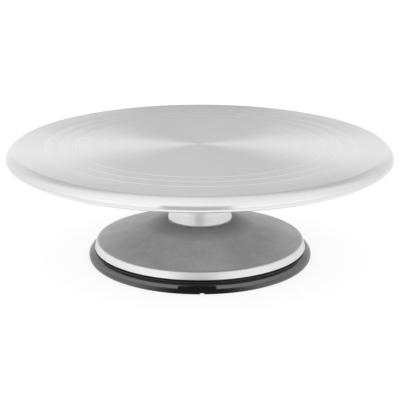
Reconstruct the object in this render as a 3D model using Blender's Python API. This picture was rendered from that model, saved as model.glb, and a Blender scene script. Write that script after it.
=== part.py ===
"""Cake decorating turntable: a round aluminium plate that turns on a low cast base.

Metres, +Z up, the base stands on z = 0 and everything that turns does so about the Z axis.
Every turned piece is an outline of (radius, height) points spun about its own Z axis.
"""
from math import acos, atan2, cos, degrees, hypot, pi, radians, sin

import bmesh
import bpy

MM = 0.001
GAP = 0.3 * MM                     # left between pieces that touch on the real object
WELD = 1e-6

# Plate
PLATE_RADIUS = 158.75 * MM         # 12.5 inch plate
PLATE_TOP = 98.0 * MM
PLATE_THICKNESS = 3.8 * MM
RIM_HEIGHT = 11.0 * MM
RIM_ROUND = 8.4 * MM
GUIDE_RADII = (101.6 * MM, 114.3 * MM, 127.0 * MM)     # 8, 9 and 10 inch cakes
GUIDE_HALF_WIDTH = 0.3 * MM
GUIDE_DEPTH = 0.25 * MM
BOSS_RADIUS = 46.0 * MM
BOSS_DEPTH = 7.0 * MM              # from the plate's top to the boss's seat
SPIGOT_DEPTH = 3.0 * MM

# Cast base
RIM_LOW_RADIUS = 88.5 * MM
RIM_LOW = 11.2 * MM
CREST_RADIUS = 86.5 * MM
CREST = 17.35 * MM
CREST_ROUND = 1.6 * MM
CONE_TOP_RADIUS = 26.2 * MM
CONE_TOP = 33.5 * MM
SPIGOT_RADIUS = 85.0 * MM          # the step that the rubber ring is stretched over
SPIGOT_LOW = 2.7 * MM
WALL = 5.0 * MM
COLLAR_RADIUS = 17.5 * MM
COLLAR_TOP = 43.0 * MM
BASE_BOSS_RADIUS = 20.0 * MM
BASE_BOSS_LOW = 22.0 * MM
RIB_COUNT = 4
RIB_WIDTH = 5.0 * MM
RIB_LOW = 9.0 * MM

# Rubber ring
RING_RADIUS = 93.2 * MM
RING_WAIST = 5.2 * MM              # height of its widest line
RING_INNER = 81.0 * MM
RING_LIP = SPIGOT_LOW - GAP
FOOT_RADIUS = 89.3 * MM
BULGE_TOP = 10.1 * MM              # the ring's outside ends here, below the base's rim
RING_RECESS = 86.8 * MM
NOTCH_WIDTH = 3.2 * MM
NOTCH_HEIGHT = 1.9 * MM
NOTCH_OFFSET = 1.7 * MM

# Deep-groove ball bearings, two alike
BEARING_BORE = 8.5 * MM
BEARING_RADIUS = 20.0 * MM
BEARING_WIDTH = 12.0 * MM
INNER_RACE_RADIUS = 12.1 * MM
OUTER_RACE_INNER = 16.4 * MM
PITCH_RADIUS = 14.25 * MM
BALL_RADIUS = 3.37 * MM
BALL_COUNT = 8
GROOVE_ROUND = BALL_RADIUS + GAP
CAGE_HALF_WIDTH = 1.0 * MM
CAGE_POST_TOP = 2.4 * MM
SHIELD_OFFSET = 5.2 * MM
SHIELD_THICKNESS = 0.5 * MM
BEARING_SEGMENTS = 3 * BALL_COUNT

# Hub
HUB_RADIUS = 25.0 * MM
HUB_LIP_RADIUS = 26.7 * MM
HUB_LOW = 33.8 * MM
HUB_FLARE = 11.0 * MM              # height over which the neck widens to its lip
FLANGE_RADIUS = 44.0 * MM
FLANGE_THICKNESS = 5.0 * MM
FLANGE_FILLET = 4.5 * MM
SCREW_CIRCLE = 35.0 * MM
SCREW_COUNT = 6
SCREW_RADIUS = 2.5 * MM
SCREW_HEAD_RADIUS = 4.25 * MM
SCREW_HEAD = 5.0 * MM
SCREW_LENGTH = 10.0 * MM
SCREW_HOLE = SCREW_RADIUS + GAP
SEAL_BORE = 18.9 * MM
LEDGE = 3.0 * MM                   # thickness of the ledge under the lower bearing
LEDGE_RADIUS = 16.8 * MM
CLIP_GROOVE = 21.4 * MM

# Spindle, and what it carries
SPINDLE_RADIUS = BEARING_BORE - GAP
SHOULDER_RADIUS = 14.0 * MM
SHOULDER_TOP = 50.0 * MM
SHANK_RADIUS = 10.0 * MM
THREAD_RADIUS = 8.0 * MM
THREAD_LOW = 5.0 * MM
CLIP_THICKNESS = 1.2 * MM
CLIP_OPENING = 16                  # degrees, half of the opening between a clip's ends
WASHER_THICKNESS = 2.8 * MM
SPRING_WASHER_THICKNESS = 3.0 * MM
NUT_FLATS = 24.0 * MM
NUT_HEIGHT = 8.0 * MM

BIG_SEGMENTS = 60
HUB_SEGMENTS = 36
SMALL_SEGMENTS = 24

# Heights that follow from the ones above
BOSS_LOW = PLATE_TOP - BOSS_DEPTH
HUB_TOP = BOSS_LOW - GAP
FLANGE_LOW = HUB_TOP - FLANGE_THICKNESS
LOWER_BEARING = SHOULDER_TOP + GAP + BEARING_WIDTH / 2
UPPER_BEARING = 76.0 * MM
BEARING_TOP = UPPER_BEARING + BEARING_WIDTH / 2
GROOVE_LOW = BEARING_TOP + 0.2 * MM
GROOVE_HIGH = GROOVE_LOW + CLIP_THICKNESS + 2 * GAP
SPINDLE_TOP = BOSS_LOW - SPIGOT_DEPTH - 1.0 * MM

# Name, colour, roughness and metallic value
MATERIALS = {
    "plate": ("plate_aluminium", (0.78, 0.78, 0.79), 0.30, 1.0),
    "hub": ("hub_aluminium", (0.76, 0.76, 0.77), 0.35, 1.0),
    "casting": ("cast_base", (0.42, 0.42, 0.43), 0.60, 0.6),
    "rubber": ("black_rubber", (0.02, 0.02, 0.02), 0.35, 0.0),
    "seal": ("seal_rubber", (0.06, 0.03, 0.02), 0.60, 0.0),
    "bearing": ("bearing_steel", (0.62, 0.63, 0.65), 0.22, 1.0),
    "shield": ("shield_steel", (0.55, 0.55, 0.56), 0.35, 1.0),
    "cage": ("cage_brass", (0.72, 0.53, 0.24), 0.35, 1.0),
    "spindle": ("spindle_steel", (0.50, 0.51, 0.52), 0.30, 1.0),
    "spring": ("spring_steel", (0.16, 0.16, 0.17), 0.40, 1.0),
    "zinc": ("zinc_steel", (0.66, 0.67, 0.69), 0.35, 1.0),
}


def clear_scene():
    for item in list(bpy.data.objects):
        bpy.data.objects.remove(item, do_unlink=True)


def make_material(name, colour, roughness, metallic):
    material = bpy.data.materials.new(name)
    material.use_nodes = True
    shader = material.node_tree.nodes["Principled BSDF"]
    shader.inputs["Base Color"].default_value = (*colour, 1.0)
    shader.inputs["Roughness"].default_value = roughness
    shader.inputs["Metallic"].default_value = metallic
    return material


def make_axis(name):
    axis = bpy.data.objects.new(name, None)
    bpy.context.collection.objects.link(axis)
    return axis


def arc(centre, size, start, end, steps):
    """Points along an ellipse in the (radius, height) plane, angles in degrees."""
    points = []
    for step in range(steps + 1):
        angle = radians(start + (end - start) * step / steps)
        points.append((centre[0] + size[0] * cos(angle), centre[1] + size[1] * sin(angle)))
    return points


def fillet(before, corner, after, radius, steps=3):
    """A corner of an outline, rounded to a radius."""
    back = (before[0] - corner[0], before[1] - corner[1])
    on = (after[0] - corner[0], after[1] - corner[1])
    back_length = hypot(*back)
    on_length = hypot(*on)
    back = (back[0] / back_length, back[1] / back_length)
    on = (on[0] / on_length, on[1] / on_length)
    cosine = back[0] * on[0] + back[1] * on[1]
    reach = radius * ((1 + cosine) / (1 - cosine)) ** 0.5
    start = (corner[0] + back[0] * reach, corner[1] + back[1] * reach)
    end = (corner[0] + on[0] * reach, corner[1] + on[1] * reach)
    points = []
    for step in range(steps + 1):
        part = step / steps
        weights = ((1 - part) ** 2, 2 * part * (1 - part), part ** 2)
        points.append(tuple(
            weights[0] * start[k] + weights[1] * corner[k] + weights[2] * end[k] for k in (0, 1)))
    return points


def finish_object(name, bm, material, parent=None, location=(0, 0, 0), sharp=35):
    bmesh.ops.recalc_face_normals(bm, faces=bm.faces)
    mesh = bpy.data.meshes.new(name)
    bm.to_mesh(mesh)
    bm.free()
    mesh.shade_smooth()
    mesh.set_sharp_from_angle(angle=radians(sharp))
    mesh.materials.append(material)
    return place(name, mesh, parent, location)


def place(name, mesh, parent, location):
    item = bpy.data.objects.new(name, mesh)
    bpy.context.collection.objects.link(item)
    item.parent = parent
    item.location = location
    return item


def spin_outline(outline, segments, closed=True):
    """Turn an outline about Z; an open one starts and ends on the axis."""
    bm = bmesh.new()
    verts = [bm.verts.new((radius, 0, height)) for radius, height in outline]
    pairs = list(zip(verts, verts[1:]))
    if closed:
        pairs.append((verts[-1], verts[0]))
    edges = [bm.edges.new(pair) for pair in pairs]
    bmesh.ops.spin(bm, geom=verts + edges, cent=(0, 0, 0), axis=(0, 0, 1),
                   angle=2 * pi, steps=segments, use_merge=True)
    bmesh.ops.remove_doubles(bm, verts=bm.verts, dist=WELD)
    return bm


def turned(name, outline, material, segments, parent=None, height=0.0, closed=True):
    return finish_object(name, spin_outline(outline, segments, closed), material, parent,
                         (0, 0, height))


def washer(name, inner, outer, low, high, material, segments, parent=None):
    outline = [(outer, high), (outer, low), (inner, low), (inner, high)]
    return turned(name, outline, material, segments, parent)


def extruded(name, outline, low, high, material, parent=None):
    """A flat outline of (x, y) points raised from low to high."""
    bm = bmesh.new()
    face = bm.faces.new([bm.verts.new((x, y, low)) for x, y in outline])
    raised = bmesh.ops.extrude_face_region(bm, geom=[face])["geom"]
    rising = [item for item in raised if isinstance(item, bmesh.types.BMVert)]
    bmesh.ops.translate(bm, vec=(0, 0, high - low), verts=rising)
    return finish_object(name, bm, material, parent)


def cut(target, cutter):
    """Take the cutter out of the target with a Boolean."""
    cutter.hide_render = True
    cutter.display_type = "WIRE"
    modifier = target.modifiers.new("cut_" + cutter.name, "BOOLEAN")
    modifier.operation = "DIFFERENCE"
    modifier.object = cutter


def join(target, piece):
    """Add the piece to the target with a Boolean."""
    piece.hide_render = True
    piece.display_type = "WIRE"
    modifier = target.modifiers.new("join_" + piece.name, "BOOLEAN")
    modifier.operation = "UNION"
    modifier.object = piece


def screw_places():
    places = []
    for number in range(SCREW_COUNT):
        angle = 2 * pi * (number + 0.5) / SCREW_COUNT
        places.append((SCREW_CIRCLE * cos(angle), SCREW_CIRCLE * sin(angle), angle))
    return places


def make_hole_pattern(name, low, high, material):
    """One cutter with a round peg at each of the hub's screw places."""
    bm = bmesh.new()
    for x, y, _ in screw_places():
        peg = bmesh.ops.create_cone(bm, cap_ends=True, segments=12, radius1=SCREW_HOLE,
                                    radius2=SCREW_HOLE, depth=high - low)
        bmesh.ops.translate(bm, vec=(x, y, (low + high) / 2), verts=peg["verts"])
    return finish_object(name, bm, material)


def guide_groove(radius):
    """A shallow V cut in the plate's top."""
    return [(radius - GUIDE_HALF_WIDTH, PLATE_TOP),
            (radius, PLATE_TOP - GUIDE_DEPTH),
            (radius + GUIDE_HALF_WIDTH, PLATE_TOP)]


def make_plate(materials, parent):
    """The plate: flat top, rolled rim, and a boss underneath that takes the hub's screws."""
    flat_radius = PLATE_RADIUS - RIM_ROUND
    waist = PLATE_TOP - RIM_ROUND
    rim_low = PLATE_TOP - RIM_HEIGHT
    underside = PLATE_TOP - PLATE_THICKNESS
    inner_round = RIM_ROUND - PLATE_THICKNESS
    lower_round = (3.2 * MM, waist - rim_low)
    spigot_radius = 19.9 * MM
    outline = [(0, PLATE_TOP)]
    for radius in GUIDE_RADII:
        outline += guide_groove(radius)
    outline += arc((flat_radius, waist), (RIM_ROUND, RIM_ROUND), 90, 0, 6)
    outline += arc((PLATE_RADIUS - lower_round[0], waist), lower_round, 0, -90, 3)[1:]
    outline += arc((flat_radius, waist), (inner_round, inner_round), 0, 90, 3)
    outline += [(BOSS_RADIUS + 2 * MM, underside), (BOSS_RADIUS, underside - 1.5 * MM),
                (BOSS_RADIUS, BOSS_LOW), (spigot_radius, BOSS_LOW),
                (spigot_radius, BOSS_LOW - SPIGOT_DEPTH), (0, BOSS_LOW - SPIGOT_DEPTH)]
    plate = turned("turntable_plate", outline, materials["plate"], BIG_SEGMENTS, parent, closed=False)
    hole_top = FLANGE_LOW - GAP + SCREW_LENGTH + 0.5 * MM
    cut(plate, make_hole_pattern("plate_holes", BOSS_LOW - MM, hole_top, materials["plate"]))


def make_hub(materials, parent):
    """The neck: a turned hub that carries the plate and hangs over the base's collar."""
    ledge_low = SHOULDER_TOP - LEDGE
    bearing_bore = BEARING_RADIUS + GAP
    outline = [(FLANGE_RADIUS, HUB_TOP), (FLANGE_RADIUS, FLANGE_LOW)]
    outline += arc((HUB_RADIUS + FLANGE_FILLET, FLANGE_LOW - FLANGE_FILLET),
                   (FLANGE_FILLET, FLANGE_FILLET), 90, 180, 3)
    outline += [(HUB_RADIUS, HUB_LOW + HUB_FLARE), (HUB_LIP_RADIUS, HUB_LOW + 1.8 * MM),
                (HUB_LIP_RADIUS - 0.5 * MM, HUB_LOW + 0.5 * MM), (HUB_LIP_RADIUS - 1.8 * MM, HUB_LOW),
                (SEAL_BORE + 0.9 * MM, HUB_LOW),
                (SEAL_BORE, HUB_LOW + 0.9 * MM), (SEAL_BORE, ledge_low), (LEDGE_RADIUS, ledge_low),
                (LEDGE_RADIUS, SHOULDER_TOP), (bearing_bore, SHOULDER_TOP),
                (bearing_bore, GROOVE_LOW), (CLIP_GROOVE, GROOVE_LOW), (CLIP_GROOVE, GROOVE_HIGH),
                (bearing_bore, GROOVE_HIGH), (bearing_bore, HUB_TOP)]
    hub = turned("plate_hub", outline, materials["hub"], HUB_SEGMENTS, parent)
    cut(hub, make_hole_pattern("hub_holes", FLANGE_LOW - MM, HUB_TOP + MM, materials["hub"]))


def make_screws(materials, parent):
    """Socket-head screws that hold the hub's flange to the plate's boss, heads down."""
    bm = spin_outline([(0, SCREW_LENGTH), (SCREW_RADIUS - 0.5 * MM, SCREW_LENGTH),
                       (SCREW_RADIUS, SCREW_LENGTH - 0.5 * MM), (SCREW_RADIUS, 0),
                       (SCREW_HEAD_RADIUS, 0), (SCREW_HEAD_RADIUS, 0.4 * MM - SCREW_HEAD),
                       (SCREW_HEAD_RADIUS - 0.4 * MM, -SCREW_HEAD), (2.2 * MM, -SCREW_HEAD),
                       (2.2 * MM, -0.5 * SCREW_HEAD), (0, -0.5 * SCREW_HEAD)], 12, closed=False)
    first = finish_object("hub_screw_1", bm, materials["zinc"], parent)
    for number, (x, y, angle) in enumerate(screw_places(), start=1):
        screw = first
        if number > 1:
            screw = place(f"hub_screw_{number}", first.data, parent, (0, 0, 0))
        screw.location = (x, y, FLANGE_LOW - GAP)
        screw.rotation_euler = (0, 0, angle)


def cone_height(radius):
    """Height of the base's sloping top at a radius."""
    slope = (CONE_TOP - CREST) / (CREST_RADIUS - CONE_TOP_RADIUS)
    return CREST + (CREST_RADIUS - radius) * slope


def make_base(materials):
    """The cast base: cone, machined rim, step for the rubber ring, boss and ribs below."""
    bore = SHANK_RADIUS + GAP
    skirt_inner = 81.3 * MM
    ceiling_outer = 79.0 * MM
    ceiling_inner = BASE_BOSS_RADIUS + 4.0 * MM
    cone_top = (CONE_TOP_RADIUS, CONE_TOP)
    rim_low = (RIM_LOW_RADIUS, RIM_LOW)
    outline = [(bore, COLLAR_TOP), (COLLAR_RADIUS - 0.5 * MM, COLLAR_TOP),
               (COLLAR_RADIUS, COLLAR_TOP - 0.5 * MM), (COLLAR_RADIUS, CONE_TOP), cone_top]
    outline += fillet(cone_top, (CREST_RADIUS, CREST), rim_low, CREST_ROUND)
    outline += [(RIM_LOW_RADIUS - 0.1 * MM, RIM_LOW + 0.4 * MM), (RIM_LOW_RADIUS - 0.5 * MM, RIM_LOW),
                (SPIGOT_RADIUS, RIM_LOW), (SPIGOT_RADIUS, SPIGOT_LOW), (skirt_inner, SPIGOT_LOW),
                (skirt_inner, RIM_LOW + 0.5 * MM), (ceiling_outer, cone_height(ceiling_outer) - WALL),
                (ceiling_inner, cone_height(ceiling_inner) - WALL),
                (BASE_BOSS_RADIUS, cone_height(ceiling_inner) - WALL - 2.5 * MM),
                (BASE_BOSS_RADIUS, BASE_BOSS_LOW), (bore, BASE_BOSS_LOW)]
    base = turned("base_casting", outline, materials["casting"], BIG_SEGMENTS)
    for number in range(RIB_COUNT):
        join(base, make_rib(number, materials["casting"]))


def make_rib(number, material):
    """A web on a diagonal under the cone, from the boss to the skirt."""
    inner = BASE_BOSS_RADIUS - 2.0 * MM
    outer = SPIGOT_RADIUS - 2.5 * MM
    outline = [(inner, BASE_BOSS_LOW + 0.5 * MM), (outer, RIB_LOW),
               (outer, cone_height(outer) - WALL / 2), (inner, CONE_TOP - WALL / 2)]
    bm = bmesh.new()
    face = bm.faces.new([bm.verts.new((x, -RIB_WIDTH / 2, z)) for x, z in outline])
    raised = bmesh.ops.extrude_face_region(bm, geom=[face])["geom"]
    rising = [item for item in raised if isinstance(item, bmesh.types.BMVert)]
    bmesh.ops.translate(bm, vec=(0, RIB_WIDTH, 0), verts=rising)
    rib = finish_object(f"rib_{number + 1}", bm, material)
    rib.rotation_euler = (0, 0, 2 * pi * (number + 0.5) / RIB_COUNT)
    return rib


def make_rubber_ring(materials):
    """The non-slip ring: stretched over the base's step, round outside, flat below."""
    inner = SPIGOT_RADIUS + GAP
    top = RIM_LOW - GAP
    shoulder = 88.0 * MM
    outline = [(RING_INNER, 0)]
    outline += arc((FOOT_RADIUS, RING_WAIST), (RING_RADIUS - FOOT_RADIUS, RING_WAIST), -90, 0, 4)
    outline += arc((shoulder, RING_WAIST), (RING_RADIUS - shoulder, BULGE_TOP - RING_WAIST), 0, 90, 4)[1:]
    outline += [(RING_RECESS, BULGE_TOP), (RING_RECESS, top), (inner, top), (inner, RING_LIP),
                (RING_INNER, RING_LIP)]
    ring = turned("non_slip_ring", outline, materials["rubber"], BIG_SEGMENTS)
    bm = bmesh.new()
    bmesh.ops.create_cube(bm, size=1.0)
    length = 2 * (RING_RADIUS - RING_INNER)
    bmesh.ops.scale(bm, vec=(NOTCH_WIDTH, length, 2 * NOTCH_HEIGHT), verts=bm.verts)
    middle = -(RING_RADIUS + RING_INNER) / 2
    notch = finish_object("vent_notch", bm, materials["rubber"], None, (NOTCH_OFFSET, middle, 0))
    cut(ring, notch)


def groove_edge(depth):
    """Angle, at the ball's centre, of the edge where a ball groove meets its race."""
    return degrees(acos(depth / GROOVE_ROUND))


def make_races(level, height, materials, hub_axis):
    """The inner race stays still on the spindle and the outer race turns with the hub."""
    half = BEARING_WIDTH / 2
    centre = (PITCH_RADIUS, 0)
    size = (GROOVE_ROUND, GROOVE_ROUND)
    inner_edge = groove_edge(PITCH_RADIUS - INNER_RACE_RADIUS)
    outer_edge = groove_edge(OUTER_RACE_INNER - PITCH_RADIUS)
    inner = [(BEARING_BORE, half), (INNER_RACE_RADIUS, half)]
    inner += arc(centre, size, 180 - inner_edge, 180 + inner_edge, 4)
    inner += [(INNER_RACE_RADIUS, -half), (BEARING_BORE, -half)]
    outer = [(BEARING_RADIUS, half), (BEARING_RADIUS, -half), (OUTER_RACE_INNER, -half)]
    outer += arc(centre, size, -outer_edge, outer_edge, 4)
    outer += [(OUTER_RACE_INNER, half)]
    turned(f"{level}_inner_race", inner, materials["bearing"], BEARING_SEGMENTS, None, height)
    turned(f"{level}_outer_race", outer, materials["bearing"], BEARING_SEGMENTS, hub_axis, height)


def make_shields(level, height, materials, hub_axis):
    """Thin rings pressed into the outer race, one on each side of the balls."""
    inner = INNER_RACE_RADIUS + 0.5 * MM
    outer = OUTER_RACE_INNER - GAP
    for side, direction in (("top", 1), ("bottom", -1)):
        near = height + direction * SHIELD_OFFSET
        far = near + direction * SHIELD_THICKNESS
        washer(f"{level}_shield_{side}", inner, outer, min(near, far), max(near, far),
               materials["shield"], SMALL_SEGMENTS, hub_axis)


def make_cage(level, height, materials, cage_axis):
    """A crown cage: a ring under the balls with a post between each ball and the next."""
    inner = PITCH_RADIUS - CAGE_HALF_WIDTH
    outer = PITCH_RADIUS + CAGE_HALF_WIDTH
    ring_top = -BALL_RADIUS - 0.4 * MM
    ring_low = ring_top - 0.8 * MM
    bm = spin_outline([(outer, ring_top), (outer, ring_low), (inner, ring_low), (inner, ring_top)],
                      BEARING_SEGMENTS)
    posts = []
    for face in bm.faces:
        centre = face.calc_center_median()
        sector = int((atan2(centre.y, centre.x) % (2 * pi)) / (2 * pi) * BEARING_SEGMENTS)
        if abs(centre.z - ring_top) < WELD and sector % 3 == 1:
            posts.append(face)
    raised = bmesh.ops.extrude_discrete_faces(bm, faces=posts)["faces"]
    rising = {vert for face in raised for vert in face.verts}
    bmesh.ops.translate(bm, vec=(0, 0, CAGE_POST_TOP - ring_top), verts=list(rising))
    finish_object(f"{level}_cage", bm, materials["cage"], cage_axis, (0, 0, height))


def make_balls(level, height, materials, cage_axis):
    bm = bmesh.new()
    bmesh.ops.create_icosphere(bm, subdivisions=2, radius=BALL_RADIUS)
    first = finish_object(f"{level}_ball_1", bm, materials["bearing"], cage_axis, sharp=180)
    for number in range(BALL_COUNT):
        ball = first
        if number > 0:
            ball = place(f"{level}_ball_{number + 1}", first.data, cage_axis, (0, 0, 0))
        angle = 2 * pi * number / BALL_COUNT
        ball.location = (PITCH_RADIUS * cos(angle), PITCH_RADIUS * sin(angle), height)


def make_bearing(level, height, materials, hub_axis):
    cage_axis = make_axis(f"{level}_cage_axis")
    make_races(level, height, materials, hub_axis)
    make_shields(level, height, materials, hub_axis)
    make_cage(level, height, materials, cage_axis)
    make_balls(level, height, materials, cage_axis)


def make_spindle(materials):
    """The fixed spindle: bearing seat, shoulder on the base's collar, and a thread below."""
    clip_groove = SPINDLE_RADIUS - 0.9 * MM
    shoulder_low = COLLAR_TOP + GAP
    thread_top = BASE_BOSS_LOW + MM
    outline = [(0, SPINDLE_TOP), (SPINDLE_RADIUS - MM, SPINDLE_TOP), (SPINDLE_RADIUS, SPINDLE_TOP - MM),
               (SPINDLE_RADIUS, GROOVE_HIGH), (clip_groove, GROOVE_HIGH), (clip_groove, GROOVE_LOW),
               (SPINDLE_RADIUS, GROOVE_LOW), (SPINDLE_RADIUS, SHOULDER_TOP),
               (SHOULDER_RADIUS, SHOULDER_TOP), (SHOULDER_RADIUS, shoulder_low),
               (SHANK_RADIUS, shoulder_low), (SHANK_RADIUS, thread_top), (THREAD_RADIUS, thread_top),
               (THREAD_RADIUS, THREAD_LOW + MM), (THREAD_RADIUS - MM, THREAD_LOW), (0, THREAD_LOW)]
    turned("spindle", outline, materials["spindle"], SMALL_SEGMENTS, closed=False)


def make_spacers(materials, hub_axis):
    """Sleeves that hold the two bearings apart, one between each pair of races."""
    low = LOWER_BEARING + BEARING_WIDTH / 2 + GAP
    high = UPPER_BEARING - BEARING_WIDTH / 2 - GAP
    washer("inner_spacer", BEARING_BORE, INNER_RACE_RADIUS - MM, low, high,
           materials["spindle"], SMALL_SEGMENTS)
    washer("outer_spacer", OUTER_RACE_INNER + MM, BEARING_RADIUS, low, high,
           materials["spindle"], SMALL_SEGMENTS, hub_axis)


def make_dust_seal(materials, hub_axis):
    """A rubber ring in the hub's mouth whose lip runs round the spindle's shoulder."""
    low = COLLAR_TOP + 2 * GAP
    high = SHOULDER_TOP - LEDGE - GAP
    lip = SHOULDER_RADIUS + 0.4 * MM
    body = SHOULDER_RADIUS + 1.6 * MM
    outer = SEAL_BORE - GAP
    outline = [(outer, high), (outer, low), (lip, low), (lip, low + MM), (body, high)]
    turned("dust_seal", outline, materials["seal"], SMALL_SEGMENTS, hub_axis)


def clip_edge(radius, lug_radius, steps=20):
    """One edge of an open clip: round, with a wider or narrower lug at each end."""
    points = []
    for step in range(steps + 1):
        angle = radians(CLIP_OPENING + (360 - 2 * CLIP_OPENING) * step / steps)
        edge = lug_radius if min(step, steps - step) < 2 else radius
        points.append((edge * cos(angle), edge * sin(angle)))
    return points


def make_clips(materials, hub_axis):
    """Snap rings above the upper bearing: one round the spindle, one inside the hub."""
    low = GROOVE_LOW + GAP
    high = low + CLIP_THICKNESS
    inside = SPINDLE_RADIUS - 0.6 * MM
    outside = INNER_RACE_RADIUS - 1.6 * MM
    outline = clip_edge(outside, outside + MM) + clip_edge(inside, inside)[::-1]
    extruded("spindle_clip", outline, low, high, materials["spring"])
    outside = CLIP_GROOVE - GAP
    inside = OUTER_RACE_INNER + 1.6 * MM
    outline = clip_edge(outside, outside) + clip_edge(inside, inside - 1.5 * MM)[::-1]
    extruded("hub_clip", outline, low, high, materials["spring"], hub_axis)


def make_spindle_fixings(materials):
    """Washer, spring washer and nut that pull the spindle down into the base's boss."""
    bore = THREAD_RADIUS + GAP
    washer_top = BASE_BOSS_LOW - GAP
    washer_low = washer_top - WASHER_THICKNESS
    washer("spindle_washer", bore, 15.0 * MM, washer_low, washer_top, materials["zinc"], SMALL_SEGMENTS)
    spring_top = washer_low - GAP
    spring_low = spring_top - SPRING_WASHER_THICKNESS
    outline = []
    for radius, order in ((12.6 * MM, 1), (bore, -1)):
        edge = arc((0, 0), (radius, radius), 4, 356, SMALL_SEGMENTS)
        outline += edge[::order]
    extruded("spring_washer", outline, spring_low, spring_top, materials["spring"])
    nut_top = spring_low - GAP
    corner = NUT_FLATS / 2 / cos(pi / 6)
    nut = extruded("spindle_nut", arc((0, 0), (corner, corner), 0, 300, 5), nut_top - NUT_HEIGHT,
                   nut_top, materials["zinc"])
    bm = bmesh.new()
    bmesh.ops.create_cone(bm, cap_ends=True, segments=SMALL_SEGMENTS, radius1=bore, radius2=bore,
                          depth=3 * NUT_HEIGHT)
    cut(nut, finish_object("nut_bore", bm, materials["zinc"], None, (0, 0, nut_top - NUT_HEIGHT / 2)))


def main():
    clear_scene()
    materials = {key: make_material(*values) for key, values in MATERIALS.items()}
    turntable_axis = make_axis("turntable_axis")
    make_base(materials)
    make_rubber_ring(materials)
    make_spindle(materials)
    make_spindle_fixings(materials)
    make_bearing("lower", LOWER_BEARING, materials, turntable_axis)
    make_bearing("upper", UPPER_BEARING, materials, turntable_axis)
    make_spacers(materials, turntable_axis)
    make_clips(materials, turntable_axis)
    make_dust_seal(materials, turntable_axis)
    make_plate(materials, turntable_axis)
    make_hub(materials, turntable_axis)
    make_screws(materials, turntable_axis)


main()
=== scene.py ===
"""Looks of a cake decorating turntable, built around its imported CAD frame.

Metres, +Z up. The plate turns about Z, and -Y is the side that faces the camera.
Every turned piece is an outline of (radius, height, rounding) corners, spun about Z.
"""
from math import acos, atan2, cos, hypot, pi, radians, sin, sqrt, tan

import bmesh
import bpy
from mathutils import Matrix, Vector


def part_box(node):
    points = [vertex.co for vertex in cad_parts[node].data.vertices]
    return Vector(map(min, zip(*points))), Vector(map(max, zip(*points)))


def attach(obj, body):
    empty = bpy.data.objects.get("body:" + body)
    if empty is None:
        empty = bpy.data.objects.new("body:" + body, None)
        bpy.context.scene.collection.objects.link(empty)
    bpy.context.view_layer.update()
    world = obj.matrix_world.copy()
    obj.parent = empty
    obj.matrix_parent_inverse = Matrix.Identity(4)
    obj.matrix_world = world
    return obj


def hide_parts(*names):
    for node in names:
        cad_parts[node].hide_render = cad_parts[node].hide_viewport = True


MM = 0.001
GAP = 0.3 * MM

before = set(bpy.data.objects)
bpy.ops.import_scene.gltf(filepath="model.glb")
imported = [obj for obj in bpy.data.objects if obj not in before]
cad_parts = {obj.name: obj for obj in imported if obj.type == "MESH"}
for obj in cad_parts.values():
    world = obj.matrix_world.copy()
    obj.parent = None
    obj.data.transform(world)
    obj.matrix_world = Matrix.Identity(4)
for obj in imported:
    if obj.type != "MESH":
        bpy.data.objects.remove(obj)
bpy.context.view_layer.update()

# Sizes read from the frame
PLATE_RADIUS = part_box("turntable_plate")[1].x
PLATE_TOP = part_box("turntable_plate")[1].z
RIM_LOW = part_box("turntable_plate")[0].z
FLANGE_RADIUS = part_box("plate_hub")[1].x
HUB_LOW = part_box("plate_hub")[0].z
HUB_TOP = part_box("plate_hub")[1].z
BASE_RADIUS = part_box("base_casting")[1].x
COLLAR_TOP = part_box("base_casting")[1].z
STEP_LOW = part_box("base_casting")[0].z
RING_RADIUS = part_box("non_slip_ring")[1].x
RING_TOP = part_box("non_slip_ring")[1].z
SPINDLE_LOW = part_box("spindle")[0].z
SPINDLE_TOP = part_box("spindle")[1].z

# Repeats and fixings
SCREW_COUNT = 6
SCREW_LENGTH = 10.0 * MM
SCREW_HOLE = 2.8 * MM
SCREW_HOLE_TOP = 95.9 * MM
BALL_COUNT = 8

# Plate
PLATE_THICKNESS = 3.8 * MM
RIM_ROUND = 8.4 * MM
GUIDE_RADII = (101.6 * MM, 114.3 * MM, 127.0 * MM)
GUIDE_STEEP = 0.08 * MM             # the cut's inner wall, nearly upright
GUIDE_SLOPE = 0.75 * MM             # its outer wall, a long shallow slope
GUIDE_DEPTH = 0.14 * MM
BOSS_RADIUS = 46.0 * MM
BOSS_LOW = HUB_TOP + GAP
SPIGOT_RADIUS = 19.9 * MM
SPIGOT_DEPTH = 3.0 * MM

# Hub
HUB_RADIUS = 25.0 * MM
HUB_LIP_RADIUS = 26.7 * MM
HUB_FLARE = 11.0 * MM               # height of the neck's widening above its lower edge
FLANGE_LOW = HUB_TOP - 5.0 * MM
SEAL_BORE = 18.9 * MM
LEDGE_RADIUS = 16.8 * MM
LEDGE_LOW = 47.0 * MM
SHOULDER_TOP = 50.0 * MM
BEARING_RADIUS = 20.0 * MM
CLIP_GROOVE = 21.4 * MM
GROOVE_LOW = 82.2 * MM
GROOVE_HIGH = 84.0 * MM
SCREW_CIRCLE = 35.0 * MM

# Base
RIM_UNDER = RING_TOP + GAP
CREST_RADIUS = 86.5 * MM
CREST = 17.35 * MM
CONE_TOP_RADIUS = 26.2 * MM
CONE_TOP = HUB_LOW - GAP
STEP_RADIUS = 85.0 * MM
COLLAR_RADIUS = 17.5 * MM
SHANK_BORE = 10.3 * MM
WALL = 5.0 * MM
BASE_BOSS_RADIUS = 20.0 * MM
BASE_BOSS_LOW = 22.0 * MM
RIB_COUNT = 4

# Rubber ring
NOTCH_OFFSET = 1.7 * MM
NOTCH_HALF_WIDTH = 1.6 * MM
NOTCH_HEIGHT = 1.9 * MM

# Segments round a turned piece, and the degrees that one step of a fillet turns
FINE = 360
MEDIUM = 192
SMALL = 96
FILLET_TURN = 10.0


# ---------------------------------------------------------------- mesh helpers

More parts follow.
